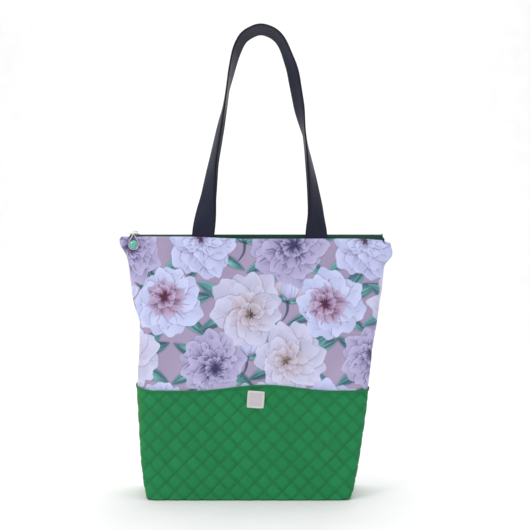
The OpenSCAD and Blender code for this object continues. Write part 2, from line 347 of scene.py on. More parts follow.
def board_material():
    n = Nodes("base_board", (0.05, 0.05, 0.05), 0.7)
    n.tone(n.noise(n.place(), 0.3, 4), (0.3, (0.035, 0.035, 0.035)), (0.7, (0.07, 0.07, 0.07)))
    return n.material


# ---- mesh helpers


def make_mesh(name, points, quads, material):
    """A smooth mesh object from an array of points and one of quads."""
    points = np.asarray(points, np.float32).reshape(-1, 3)
    quads = np.asarray(quads, np.int32).reshape(-1, 4)
    mesh = bpy.data.meshes.new(name)
    mesh.vertices.add(len(points))
    mesh.vertices.foreach_set("co", points.ravel())
    mesh.loops.add(quads.size)
    mesh.loops.foreach_set("vertex_index", quads.ravel())
    mesh.polygons.add(len(quads))
    mesh.polygons.foreach_set("loop_start", np.arange(0, quads.size, 4, dtype=np.int32))
    mesh.update(calc_edges=True)
    mesh.validate()
    mesh.polygons.foreach_set("use_smooth", np.ones(len(mesh.polygons), bool))
    return make_object(name, mesh, material)


def make_object(name, mesh, material):
    mesh.materials.append(material)
    obj = bpy.data.objects.new(name, mesh)
    bpy.context.scene.collection.objects.link(obj)
    return obj


def set_attribute(obj, name, values, kind="FLOAT"):
    attribute = obj.data.attributes.new(name, kind, "POINT")
    field = {"FLOAT": "value", "FLOAT_VECTOR": "vector", "FLOAT_COLOR": "color"}[kind]
    attribute.data.foreach_set(field, np.asarray(values, np.float32).ravel())


def grid_quads(rows, columns, wrap=False):
    """Quads of a grid of points stored row by row; wrap joins its last column to its first."""
    r, c = np.meshgrid(np.arange(rows - 1), np.arange(columns - (not wrap)), indexing="ij")
    a, b = r * columns + c, r * columns + (c + 1) % columns
    return np.stack([a, b, b + columns, a + columns], -1).reshape(-1, 4)


def rim_loop(rows, columns):
    """The outer edge of a grid, as point numbers in order."""
    bottom = list(range(columns))
    right = [r * columns + columns - 1 for r in range(1, rows)]
    top = [(rows - 1) * columns + c for c in range(columns - 2, -1, -1)]
    left = [r * columns for r in range(rows - 2, 0, -1)]
    return np.array(bottom + right + top + left)


def grid_normals(points):
    """Unit normals of a grid of points, from its two directions."""
    return unit(np.cross(np.gradient(points, axis=1), np.gradient(points, axis=0)))


def unit(vectors):
    """The vectors (along the last axis), each made one long; those of no length stay as they are."""
    return vectors / np.maximum(np.linalg.norm(vectors, axis=-1, keepdims=True), 1e-12)


def circle(count):
    """Evenly spaced angles round a circle."""
    return np.arange(count) / count * 2 * math.pi


def rows_of(line, count):
    """The line repeated as count rows."""
    return np.repeat(line[None, :], count, 0)


def columns_of(line, count):
    """The line repeated as count columns."""
    return np.repeat(line[:, None], count, 1)


def run_along(x, z):
    """Distance along a flat line of points, from its start."""
    return np.concatenate([[0], np.cumsum(np.hypot(np.diff(x), np.diff(z)))])


def on_side(points, side):
    """Points made for the front half, mirrored if side is BACK."""
    return points * np.array([1, -side, 1])


def shell(name, outer, inner, material, across, along):
    """A closed thin shell between two grids of points, with their cloth coordinates in millimetres."""
    rows, columns = outer.shape[:2]
    count = rows * columns
    loop = rim_loop(rows, columns)
    after = np.roll(loop, -1)
    face = grid_quads(rows, columns)
    rim = np.stack([after, loop, loop + count, after + count], -1)
    quads = np.concatenate([face, (face + count)[:, ::-1], rim])
    obj = make_mesh(name, np.concatenate([outer.reshape(-1, 3), inner.reshape(-1, 3)]), quads, material)
    fix_normals(obj)
    on_shell(obj, "cloth", np.stack([across, along, np.zeros_like(across)], -1), "FLOAT_VECTOR")
    return obj


def on_shell(obj, name, grid, kind="FLOAT"):
    """The same grid of values on a shell's outside and inside."""
    set_attribute(obj, name, np.stack([grid, grid]), kind)


def fix_normals(obj):
    work = bmesh.new()
    work.from_mesh(obj.data)
    bmesh.ops.recalc_face_normals(work, faces=work.faces)
    work.to_mesh(obj.data)
    work.free()


def ease(low, high, x):
    """0 at low, 1 at high and smooth in between."""
    t = np.clip((x - low) / (high - low), 0, 1)
    return t * t * (3 - 2 * t)


def ride_as(obj, body, slot, *nodes):
    """Puts a piece on its body and hides the CAD nodes that it replaces; slot is not used."""
    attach(obj, body)
    if nodes:
        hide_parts(*nodes)


# ---- the bag's skin

# Height, half width to the left and half width to the right of the standing bag, in millimetres
OUTLINE = (
    (0, 158, 137), (12, 162, 143), (50, 168.5, 151.5), (124, 174.5, 163.5), (160, 177.4, 168),
    (215, 175.7, 175.7), (256, 174.4, 182.4), (282, 183.7, 186), (304, 187.5, 190), (325, 190.5, 192),
    (338, 192, 193), (343, 193, 194), (348, 194, 197), (355, 197, 203), (362, 202, 206.5), (368, 205.5, 206),
    (374, 206.5, 204.5), (380, 203, 201),
)
SQUARE_Z, SQUARE = (0, 40, 170, 300, 380), (18.0, 12.0, 5.5, 3.8, 3.0)
TOP_DEPTH, SLOPE_POWER = 15.0, 1.15
# Rise and droop of the top edge along the bag, in millimetres
EDGE_X, EDGE_LIFT = (-206, -95, -20, 80, 160, 188, 206), (2.6, 2.2, -1.0, -0.8, -0.8, -2.4, -7.5)
BASE_ROUND = 2.6
TOP = TOP_Z / MM


def top_lift(x):
    """How far the top edge stands above its mean height at x, in metres."""
    return np.interp(np.asarray(x) / MM, EDGE_X, EDGE_LIFT) * MM


def half_width(z, hand):
    """Half width at height z (mm) on the left (hand 1) or right (hand 2), with rounded corners."""
    levels, widths = [row[0] for row in OUTLINE], [row[hand] for row in OUTLINE]
    return sum(np.interp(z + k, levels, widths) for k in (-4, -2, 0, 2, 4)) / 5


def plan_curve(z, count, inset):
    """The front half of the bag's plan at height z (mm): count points evenly along the cloth.

    Returns x, y and the distance along the cloth from the middle, in millimetres.
    """
    pull = inset
    if z < BASE_ROUND:
        pull += BASE_ROUND - math.sqrt(max(0, BASE_ROUND**2 - (BASE_ROUND - z) ** 2))
    left, right = half_width(z, 1) - pull, half_width(z, 2) - pull
    slope = max(0, 1 - z / TOP) ** SLOPE_POWER
    depth = TOP_DEPTH + (BASE_Y / MM + 1 - TOP_DEPTH) * slope - pull
    power = np.interp(z, SQUARE_Z, SQUARE)
    unit = np.sin(np.linspace(-math.pi / 2, math.pi / 2, 721))
    x = np.where(unit < 0, left, right) * unit
    y = -depth * np.maximum(0, 1 - np.abs(unit) ** power) ** (1 / power)
    length = run_along(x, y)
    place = np.linspace(0, length[-1], count)
    return np.interp(place, length, x), np.interp(place, length, y), place - np.interp(0, x, length)


def soft_folds(x, z, side):
    """Outward displacement of the standing cloth, in millimetres, from broad soft folds."""
    upper = ease(150, 330, z) * (1 - 0.6 * ease(350, 378, z))
    slack = 1.6 * np.sin(x / 61 + z / 97 + 1.1 * side) * np.sin(z / 71 + 0.7 + side)
    ear = np.exp(-(((np.abs(x) - 178) / 22) ** 2)) * ease(230, 350, z)
    pleat = 2.2 * ear * np.sin((z + 0.55 * np.abs(x)) / 8.5 + side)
    pull = 1.2 * np.sin((x * 0.8 - z) / 23 + 2 * side)
    pull = pull * ease(90, 180, np.abs(x)) * ease(170, 300, z)
    belly = -2.5 * np.exp(-(((z - 215) / 75) ** 2)) * (1 - ease(60, 170, np.abs(x)))
    sink = -1.5 * np.exp(-(((np.abs(x) - 120) / 30) ** 2)) * np.exp(-(((z - 60) / 50) ** 2))
    return upper * (slack + pleat + pull) + 0.6 * belly + sink


def seam_height(s):
    """Height of the curved seam (mm) at cloth distance s (mm) from the middle front."""
    bow = 8.5 * np.cos(np.clip((s - 18) / 110, -1, 1) * math.pi / 2) ** 2
    ends = 8.0 * ease(-150, -205, s) + 2.5 * ease(160, 205, s)
    return 156.5 + bow + ends


def inland(s, width):
    """0 at both side seams of a grid with cloth distances s, 1 from width (mm) on."""
    return ease(0, width, s[:, -1:] - s) * ease(0, width, s - s[:, :1])


def skin_grid(side, z_rows, inset=0.0):
    """Points (m) of one half of the bag at the heights z_rows[row, column] (mm), and cloth distances (mm)."""
    columns = z_rows.shape[1]
    levels = np.linspace(0, TOP, 191)
    curves = np.array([plan_curve(z, columns, inset) for z in levels])
    x, y, s = (np.empty_like(z_rows) for _ in range(3))
    for c in range(columns):
        x[:, c], y[:, c], s[:, c] = (np.interp(z_rows[:, c], levels, curves[:, k, c]) for k in range(3))
    points = np.stack([x, y, z_rows], -1) * MM
    points += grid_normals(points) * (soft_folds(x, z_rows, side) * inland(s, 26))[..., None] * MM
    points[..., 2] += top_lift(points[..., 0]) * ease(250, TOP, z_rows)
    return on_side(points, side), s


# ---- the settled cloth

SETTLE_ROWS, SETTLE_COLUMNS, SETTLE_FRAMES = 37, 73, 34
SETTLE_LOW = 158.0
SETTLE_CAP = 4.5
CLOTH_SETTINGS = dict(quality=6, mass=0.35, tension_stiffness=80, compression_stiffness=80,
                      shear_stiffness=40, bending_stiffness=1.5, shrink_min=-0.006, shrink_max=-0.006,
                      vertex_group_mass="pins")
SETTLE_SCALE = 5.0  # the cloth is simulated enlarged, where Blender's solver is steadier
CANVAS_INSET = 1.4


def settle_cloth(side):
    """Displacement (mm) of the canvas after a short cloth simulation, as a coarse grid.

    The cloth is a little longer than the outline that it hangs in, so that it buckles softly between the
    stiff seam below and the zip above. Both edges are pinned.
    """
    z = columns_of(np.linspace(SETTLE_LOW, TOP, SETTLE_ROWS), SETTLE_COLUMNS)
    points, _ = skin_grid(side, z, CANVAS_INSET)
    obj = make_mesh("settling", points * SETTLE_SCALE, grid_quads(*z.shape), floor_material())
    pins = obj.vertex_groups.new(name="pins")
    grid = np.arange(z.size).reshape(z.shape)
    edge = np.unique(np.concatenate([grid[:1].ravel(), grid[-2:].ravel(), grid[:, 0], grid[:, -1]]))
    pins.add(edge.tolist(), 1.0, "REPLACE")
    cloth = obj.modifiers.new("cloth", "CLOTH")
    for name, value in CLOTH_SETTINGS.items():
        setattr(cloth.settings, name, value)
    cloth.settings.effector_weights.gravity = 0.25
    cloth.collision_settings.use_collision = False
    cloth.collision_settings.use_self_collision = False
    scene = bpy.context.scene
    scene.frame_end = max(scene.frame_end, SETTLE_FRAMES)
    cloth.point_cache.frame_start, cloth.point_cache.frame_end = 1, SETTLE_FRAMES
    for frame_number in range(1, SETTLE_FRAMES + 1):
        scene.frame_set(frame_number)
    shaped = obj.evaluated_get(bpy.context.evaluated_depsgraph_get()).to_mesh()
    after = np.empty(points.size, np.float32)
    shaped.vertices.foreach_get("co", after)
    moved = (after.reshape(points.shape) / SETTLE_SCALE - points) / MM
    mesh = obj.data
    bpy.data.objects.remove(obj)
    bpy.data.meshes.remove(mesh)
    scene.frame_set(1)
    return moved * min(1.0, SETTLE_CAP / np.linalg.norm(moved, axis=2).max())


def sample_grid(grid, row, column):
    """Smooth reading of a coarse grid at fractional rows and columns."""
    row = np.clip(row, 0, grid.shape[0] - 1.001)
    column = np.clip(column, 0, grid.shape[1] - 1.001)
    r, c = row.astype(int), column.astype(int)
    fr, fc = row - r, column - c
    fr, fc = (fr * fr * (3 - 2 * fr))[..., None], (fc * fc * (3 - 2 * fc))[..., None]
    low = grid[r, c] * (1 - fc) + grid[r, c + 1] * fc
    return low * (1 - fr) + (grid[r + 1, c] * (1 - fc) + grid[r + 1, c + 1] * fc) * fr


def settled(points, z, moved):
    """The same points of a skin grid after the cloth has settled."""
    if moved is None:
        return points
    row = (z - SETTLE_LOW) / (TOP - SETTLE_LOW) * (SETTLE_ROWS - 1)
    column = rows_of(np.linspace(0, SETTLE_COLUMNS - 1, z.shape[1]), len(z))
    return points + sample_grid(moved, row, column) * (z > SETTLE_LOW)[..., None] * MM


# ---- the flower print


def srgb(*rgb):
    return np.array(rgb, float) / 255


def to_linear(colour):
    return np.where(colour <= 0.04045, colour / 12.92, ((colour + 0.055) / 1.055) ** 2.4)


class Paint:
    """Layers of washes painted on a grid of cloth, in cloth millimetres."""

    def __init__(self, s, z, ground):
        self.s, self.z = s, z
        self.rgb = np.broadcast_to(ground, s.shape + (3,)).copy()
        self.across, self.along = s[s.shape[0] // 2], z[:, z.shape[1] // 2]

    def window(self, x, z, reach):
        """The part of the grid within reach of x, z."""
        c0, c1 = np.searchsorted(self.across, (x - reach - 13, x + reach + 13))
        r0, r1 = np.searchsorted(self.along, (z - reach - 13, z + reach + 13))
        return slice(r0, r1), slice(c0, c1)

    def lay(self, win, mask, colour):
        mask = mask[..., None]
        self.rgb[win] = self.rgb[win] * (1 - mask) + colour * mask


def polar(x, z, angle, far):
    """The point that is far from x, z at the angle in radians."""
    return x + far * math.cos(angle), z + far * math.sin(angle)


def petal(paint, rng, x, z, angle, length, width, palette, pointed=False, ruffle=0.03):
    """One petal or leaf from its root at x, z: a soft shadow, then its wash, streaks and pale rim."""
    root, middle, tip, vein, ink = palette
    win = paint.window(*polar(x, z, angle, length / 2), max(length, width) * 0.75)
    dx, dz = paint.s[win] - x, paint.z[win] - z
    if dx.size == 0:
        return
    along = dx * math.cos(angle) + dz * math.sin(angle)
    across = dz * math.cos(angle) - dx * math.sin(angle)
    bend = 0.0 if pointed else rng.uniform(-0.16, 0.16)
    across = across + bend * along * along / length
    phase = rng.uniform(0, 6.3, 5)
    frill = 0.0 if pointed else ruffle * (np.sin(across / width * 6 + phase[0]) + 0.7 * np.sin(
        across / width * 13 + phase[1]))
    t = along / (length * (1 + frill))
    inside = np.clip(t, 0.0, 1.0)
    if pointed:
        half = width / 2 * np.sin(math.pi * inside**0.85) ** 0.9
    else:
        half = width / 2 * 1.9 * inside**0.55 * (1 - inside) ** 0.36
    half = half + 1e-3
    depth = half - np.abs(across) - np.where((t < 0) | (t > 1), 3.0, 0)
    shade = 0.204 if pointed else 0.289
    shadow = ease(-2.8, 0.6, depth) * shade * (0.45 + 0.55 * (1 - inside))
    paint.rgb[win] *= 1 - shadow[..., None] * np.array([0.95, 1.0, 0.7])
    mask = ease(-0.35, 0.45, depth)
    u = across / half
    share = inside[..., None]
    body = np.where(share < 0.4, root + (middle - root) * (share / 0.4),
                    middle + (tip - middle) * ((share - 0.4) / 0.6))
    wander = u * (9 + 5 * phase[2] / 6.3) + 0.9 * np.sin(inside * 4 + phase[2]) + phase[3]
    lines = (0.5 + 0.5 * np.sin(wander)) ** 2 * 0.7 + (0.5 + 0.5 * np.sin(wander * 2.3 + 1)) ** 3 * 0.5
    reach = 0.62 + 0.3 * np.sin(u * 4.1 + phase[1])
    fade = np.clip(1 - inside / reach, 0, 1) ** 0.8
    strength = np.clip(ink * (fade * (0.25 + 0.9 * lines) + 0.05 * lines), 0, 0.95)[..., None]
    body = body * (1 - strength) + vein * strength
    side = 0.5 + 0.5 * np.tanh(u * 1.4 + rng.uniform(-0.6, 0.6))
    body = body * (1 - (0.42 if pointed else 0.09) * side[..., None] * np.array([1.0, 1.0, 0.75]))
    rim = ease(2.6, 0.9, depth) * ease(0.3, 0.9, inside)
    body = body + (1 - body) * (0.35 * rim)[..., None]
    line = np.exp(-((depth / 0.75) ** 2)) * (0.16 + 0.5 * (1 - inside) ** 1.5) * min(1.0, 0.55 + 0.5 * ink)
    body = body * (1 - line[..., None]) + vein * line[..., None]
    paint.lay(win, mask, np.clip(body, 0, 1))


def stroke(paint, x0, z0, x1, z1, width, colour, bow=0.0):
    """A brush stroke for a stem, stamen or crease: thin at its far end, bowed sideways in its middle."""
    length = math.hypot(x1 - x0, z1 - z0)
    win = paint.window((x0 + x1) / 2, (z0 + z1) / 2, length / 2 + width + abs(bow))
    dx, dz = paint.s[win] - x0, paint.z[win] - z0
    if dx.size == 0:
        return
    ux, uz = (x1 - x0) / length, (z1 - z0) / length
    along, across = dx * ux + dz * uz, dz * ux - dx * uz
    t = np.clip(along / length, 0, 1)
    across = across - bow * np.sin(math.pi * t)
    half = width / 2 * (1 - 0.6 * t)
    mask = ease(0.5, -0.5, np.abs(across) - half)
    mask = mask * ease(-0.8, 0.8, along) * ease(length + 0.8, length - 0.8, along)
    paint.lay(win, mask * 0.9, colour)


# Root, middle, tip and streak colours of a petal, and how strong its streaks are
WHITE = (srgb(178, 152, 184), srgb(222, 216, 238), srgb(234, 232, 251), srgb(118, 88, 130), 0.55)
SNOW = (srgb(200, 188, 216), srgb(228, 227, 246), srgb(235, 236, 252), srgb(160, 132, 168), 0.38)
LILAC = (srgb(62, 58, 100), srgb(178, 158, 190), srgb(220, 204, 226), srgb(34, 34, 72), 1.3)
ROSE = (srgb(140, 118, 156), srgb(196, 176, 202), srgb(222, 208, 228), srgb(70, 62, 108), 0.8)
WINE = (srgb(112, 44, 74), srgb(204, 160, 180), srgb(226, 206, 224), srgb(74, 18, 46), 1.1)
CREAM = (srgb(206, 186, 190), srgb(228, 218, 228), srgb(239, 232, 242), srgb(170, 140, 126), 0.45)
PEACH = (srgb(206, 166, 150), srgb(226, 206, 206), srgb(238, 226, 230), srgb(160, 100, 70), 0.45)
LEAF = (srgb(34, 104, 96), srgb(158, 226, 206), srgb(30, 84, 84), srgb(14, 62, 58), 0.95)
MINT = (srgb(150, 204, 196), srgb(140, 206, 190), srgb(76, 150, 136), srgb(36, 100, 98), 0.45)
NAVY, INK, GOLD = srgb(44, 46, 84), srgb(62, 40, 66), srgb(184, 154, 92)
STEM = srgb(70, 88, 106)


def fan(paint, rng, x, z, first, last, count, length, width, palette, ruffle=0.03):
    """Petals round x, z from one angle to another (degrees), laid in turn."""
    for angle in np.radians(np.linspace(first, last, count)):
        angle += rng.uniform(-0.07, 0.07)
        size = length * rng.uniform(0.93, 1.07)
        petal(paint, rng, x, z, angle, size, width * rng.uniform(0.92, 1.08), palette, ruffle=ruffle)


def streaks(paint, rng, x, z, first, near, far, colours):
    """Fine dark brush lines that run outwards round x, z, from near to about far."""
    for angle in np.radians(np.linspace(first, first + 350, 28) + rng.uniform(-4, 4, 28)):
        start, end = near * rng.uniform(0.7, 1.3), far * rng.uniform(0.6, 1.1)
        stroke(paint, *polar(x, z, angle, start), *polar(x, z, angle, end),
               1.7 * rng.uniform(0.6, 1.1), colours[rng.integers(0, len(colours))], rng.uniform(-2, 2))


def stamens(paint, rng, x, z, count, reach, colours):
    """Short dark strokes from the heart of a flower."""
    for _ in range(count):
        angle, far = math.radians(rng.uniform(0, 360)), rng.uniform(0.4, 1) * reach
        stroke(paint, x, z, *polar(x, z, angle, far), rng.uniform(1.2, 2.4),
               colours[rng.integers(0, len(colours))])


# Four kinds of bloom: outer petals, inner petals, brush lines, tuft.
BLOOMS = {
    "lilac": (ROSE, LILAC, (NAVY, srgb(78, 74, 118), srgb(120, 108, 146)), (NAVY, srgb(70, 66, 108))),
    "white": (WHITE, SNOW, (srgb(170, 148, 176), srgb(150, 128, 158)), (INK, srgb(96, 66, 72))),
    "wine": (SNOW, WINE, (srgb(158, 106, 138), srgb(190, 150, 172)), (srgb(92, 30, 58), srgb(60, 24, 48))),
    "cream": (CREAM, PEACH, (srgb(196, 176, 180), srgb(206, 186, 166)), (NAVY, GOLD, srgb(110, 104, 84))),
}


def peony(paint, rng, x, z, reach, kind):
    """A full bloom: rings of ruffled petals that shrink towards a heart set off to one side."""
    outer, inner, lines, tuft = BLOOMS[kind]
    face, start = rng.uniform(0, 2 * math.pi), rng.uniform(0, 360)
    rings = ((1.0, 0.86, 7, outer), (0.80, 0.66, 7, outer), (0.56, 0.44, 7, inner), (0.34, 0.30, 6, inner))
    for k, (far, wide, count, palette) in enumerate(rings):
        x, z = polar(x, z, face, 0.06 * reach)
        first = start + 26 * k
        fan(paint, rng, x, z, first, first + 360 - 360 / count, count, far * reach, wide * reach, palette,
            ruffle=0.06)
        streaks(paint, rng, x, z, first, 0.5 * far * reach, 0.86 * far * reach, lines)
    stamens(paint, rng, x, z, 22, 0.2 * reach, tuft)


def bud(paint, rng, x, z, angle):
    """A closed bloom on a short curved stem, pointing along angle (degrees)."""
    turn = math.radians(angle)
    stroke(paint, x, z, *polar(x, z, turn, -30), 5, STEM, 4)
    fan(paint, rng, x, z, angle - 46, angle + 46, 4, 30, 19, PEACH)
    fan(paint, rng, x, z, angle - 22, angle + 22, 3, 27, 15, SNOW)
    fan(paint, rng, *polar(x, z, turn, -2), angle - 60, angle + 60, 2, 16, 7, LEAF)


def leaf(paint, rng, x0, z0, x1, z1, width, palette):
    """A pointed leaf with a pale spine."""
    angle, length = math.atan2(z1 - z0, x1 - x0), math.hypot(x1 - x0, z1 - z0)
    petal(paint, rng, x0, z0, angle, length, width, palette, pointed=True)
    stroke(paint, x0, z0, x0 + 0.9 * (x1 - x0), z0 + 0.9 * (z1 - z0), 1.0, srgb(170, 222, 206))


REPEAT, ROW_STEP = 244.0, 84.0  # width of the repeat and distance between rows of blooms, in millimetres
BACK_SHIFT = 83  # the back is cut from another place along the repeat
PRINT_SEED = 11
KINDS = ("white", "lilac", "cream", "wine")
PRINT_TONE = np.array([0.74, 0.80, 0.98])  # how much light the dyed canvas gives back


def bloom_sites(x, rng):
    """Places, sizes and kinds of the blooms of one repeat, on a half-drop lattice shifted by x."""
    sites = []
    for row in range(4):
        for column in range(2):
            s = x + REPEAT / 2 * (column + 0.5 * (row % 2)) - 70 + rng.uniform(-7, 7)
            z = 368 - ROW_STEP * row + rng.uniform(-7, 7)
            sites.append((s, z, rng.uniform(46, 54), KINDS[(2 * row + column + row // 2) % 4]))
    return sites


def paint_greens(paint, x):
    """The leaves and buds that look out from under the blooms of one repeat."""
    rng = np.random.default_rng(PRINT_SEED)
    sites = bloom_sites(x, rng)
    for s, z, reach, _ in sites:
        for angle in (20, 42, 150, 205, 325):
            turn, far = math.radians(angle + rng.uniform(-9, 9)), reach * rng.uniform(1.3, 1.6)
            leaf(paint, rng, *polar(s, z, turn, 0.5 * reach), *polar(s, z, turn, far), rng.uniform(13, 20),
                 MINT if rng.uniform() < 0.35 else LEAF)
    for s, z, reach, _ in sites[::2]:
        bud(paint, rng, s + 1.14 * reach, z + 8, 70 + rng.uniform(-20, 20))


def paint_blooms(paint, x):
    """The blooms of one repeat, from the top row down."""
    rng = np.random.default_rng(PRINT_SEED)
    for s, z, reach, kind in bloom_sites(x, rng):
        peony(paint, rng, s, z, reach, kind)


def painted(s, z, side):
    """Linear colours of the whole print on a half of the bag, with painted warm side light at the left and
    painted shadows below both ears.
    """
    mauve, warm = srgb(188, 166, 184), srgb(200, 164, 166)
    paint = Paint(s, z, mauve)
    # Painted warm side light towards the left side, with a stronger patch below the left ear.
    warm_side_light = 0.4 * ease(-140, -190, s) + 0.9 * np.exp(-(((z - 316) / 16) ** 2) - ((s + 178) / 18) ** 2)
    paint.rgb += (warm - mauve) * warm_side_light[..., None]
    drift = 0.5 + 0.25 * np.sin(s / 31 + z / 47) + 0.25 * np.sin(s / 13 - z / 19 + 1)
    paint.rgb *= (0.965 + 0.06 * drift)[..., None]
    start = 0 if side == FRONT else BACK_SHIFT
    for layer in (paint_greens, paint_blooms):
        for k in (-1, 0, 1):
            layer(paint, k * REPEAT + start)
    # Painted shadows: small beige spots below both ears, fainter on the back.
    for x, z0 in ((-200, 352), (199, 342)):
        spot = np.exp(-(((s - x) / 9) ** 2) - ((z - z0) / 7) ** 2) * (0.5 if side == FRONT else 0.3)
        spot = spot[..., None]
        paint.rgb = paint.rgb * (1 - spot) + srgb(196, 168, 150) * spot
    rgb = PRINT_TONE * to_linear(np.clip(paint.rgb, 0, 1))
    return np.concatenate([rgb, np.ones(rgb.shape[:2] + (1,))], -1)


# ---- panels

PRINT_STEP, QUILT_STEP, LINING_STEP = 1.1, 1.6, 4.0
HALF_CLOTH = 208.0
PRINT_THICK, QUILT_THICK, LINING_THICK = 1.3, 3.0, 0.7


def cloth_columns(step):
    """Cloth distances (mm) of the columns of a panel's grid."""
    return np.linspace(-HALF_CLOTH, HALF_CLOTH, 2 * int(HALF_CLOTH / step) + 1)


def with_floor(wall, s, z, count, reach, level):
    """A wall's grid and cloth coordinates, with rows before it that run flat from the seam under the bag.

    The rows are reach (mm) long, at the height level (m).
    """
    share = np.linspace(0, 1, count)[:-1, None]
    seam = np.zeros_like(wall[0])
    seam[:, 0] = np.linspace(wall[0, 0, 0], wall[0, -1, 0], len(seam))
    base = seam * (1 - share[..., None]) + wall[0] * share[..., None]
    base[..., 2] = level
    return (np.concatenate([base, wall]), np.concatenate([rows_of(s[0], count - 1), s]),
            np.concatenate([np.repeat((share - 1) * reach, s.shape[1], 1), z]))


def print_panel(side, moved):
    """The printed upper panel, from the seam to a rounded top hem."""
    name = SIDE_NAME[side]
    share = np.linspace(0, 1, int((TOP - 150) / PRINT_STEP))[:, None]
    z = (seam_height(cloth_columns(PRINT_STEP)) - 4) * (1 - share) + TOP * share
    outer, s = skin_grid(side, z, CANVAS_INSET)
    outer = settled(outer, z, moved)
    normal = -side * grid_normals(outer)
    roll = np.clip((z - (TOP - 1.6)) / 1.6, 0, 1)
    hem = 0.6 * ease(6.5, 5.0, TOP - z)
    puff = 0.35 * np.sin(s / 3.1) * np.exp(-(((TOP - z - 4.6) / 1.2) ** 2))
    outer = outer + normal * (hem + puff - 0.8 * roll**2)[..., None] * MM
    inner = outer - normal * (PRINT_THICK + hem)[..., None] * MM
    obj = shell("print_panel_" + name + "_cloth", outer, inner, print_material(), s, z)
    on_shell(obj, "paint", painted(s, z, side), "FLOAT_COLOR")
    ride_as(obj, "bag", "printed_canvas", "print_panel_" + name)


def pillow_height(s, z):
    """Quilting from 0 in a stitched valley to 1 on a pillow, a tone for each diamond, and diamond numbers."""
    a, b = (s + z) / (math.sqrt(2) * DIAMOND), (s - z) / (math.sqrt(2) * DIAMOND)
    across, up = (1 - np.abs(2 * (v - np.floor(v)) - 1) ** 4.5 for v in (a, b))
    tone = np.sin(np.floor(a) * 12.99 + np.floor(b) * 78.2) * 43758.5
    return (across * up) ** 0.7, tone - np.floor(tone), a, b


def quilted_panel(side):
    """The quilted lower panel: from the seam under the bag, out and up to the curved seam."""
    name = SIDE_NAME[side]
    top = seam_height(cloth_columns(QUILT_STEP))
    share = np.linspace(0, 1, int((160 - BASE_ROUND) / QUILT_STEP))[1:, None]
    corner = BASE_ROUND * (1 - np.cos(np.linspace(0, math.pi / 2, 9)))
    z = np.concatenate([columns_of(corner, len(top)), BASE_ROUND * (1 - share) + top * share])
    depth = BASE_Y / MM
    outer, s, z = with_floor(*skin_grid(side, z), z, int(depth / (QUILT_STEP * 1.4)), depth, 0)
    dome, tone, a, b = pillow_height(s, z)
    normal = -side * grid_normals(outer)
    below = top - z
    edge, bottom = ease(0, 7, below), ease(-6, 6, z)
    sides = inland(s, 5)
    lift = (dome - 1) * 1.9 * edge * bottom * sides
    pucker = 0.16 * (1 - dome) ** 3 * (np.sin(a * 34) + np.sin(b * 34)) * edge * bottom
    fold = np.exp(-((np.maximum(0, below - 1.2) / 2.4) ** 2)) - np.exp(-(((below - 5.2) / 0.9) ** 2))
    lift = lift + pucker + (0.9 * fold - 1.6 * (1 - sides)) * bottom
    outer = outer + normal * lift[..., None] * MM
    thick = QUILT_THICK - 1.7 * ease(10, 4, below)
    inner = outer - normal * thick[..., None] * MM
    lowest = np.where(z < BASE_ROUND, QUILT_THICK * MM * 0.95, -1)
    inner[..., 2] = np.maximum(inner[..., 2], lowest)
    outer[..., 2] = np.maximum(outer[..., 2], 0.0)
    obj = shell("quilted_panel_" + name + "_leather", outer, inner, quilt_material(), s, z)
    # The pillow height also sets the painted shade in the stitched valleys.
    on_shell(obj, "pillow", np.where(edge * bottom > 0.5, dome, 0.75))
    # Painted highlight: lighter pillow tops, stronger on some diamonds at random.
    on_shell(obj, "pillow_highlight", tone * dome * edge)
    ride_as(obj, "bag", "quilted_green", "quilted_panel_" + name)
    return outer, below


def lining(side, moved):
    """One half of the lining, which hangs just inside the panels."""
    name = SIDE_NAME[side]
    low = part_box("lining_front")[0].z / MM
    z = columns_of(np.linspace(low, TOP - 1.5, 96), len(cloth_columns(LINING_STEP)))
    outer, s = skin_grid(side, z, 4.6)
    outer, s, z = with_floor(settled(outer, z, moved), s, z, 16, 50, low * MM)
    normal = -side * grid_normals(outer)
    outer = outer + normal * (0.3 * np.sin(s / 17) * np.sin(z / 29))[..., None] * MM
    inner = outer - normal * LINING_THICK * MM
    obj = shell("lining_" + name + "_cloth", outer, inner, lining_material(), s, z)
    ride_as(obj, "bag", "lining", "lining_" + name)


# ---- seam, stitches and label


def capsules(name, centres, along, out, length, width, material):
    """Short rounded stitches: one at each centre, lying along, standing up towards out."""
    around, rings = 6, ((-0.5, 0.25), (-0.36, 0.85), (0.0, 1.0), (0.36, 0.85), (0.5, 0.25))
    along = unit(along)
    side = unit(np.cross(along, out))
    up = np.cross(side, along)
    points = [centres + along * place * length + share * width / 2 * (math.cos(t) * side + math.sin(t) * up)
              for place, share in rings for t in circle(around)]
    per = around * len(rings)
    caps = np.array([[0, 1, 2, 3], [0, 3, 4, 5]])
    one = np.concatenate([grid_quads(len(rings), around, wrap=True), caps[:, ::-1], caps + per - around])
    quads = one + np.arange(len(centres))[:, None, None] * per
    return make_mesh(name, np.stack(points, 1), quads, material)


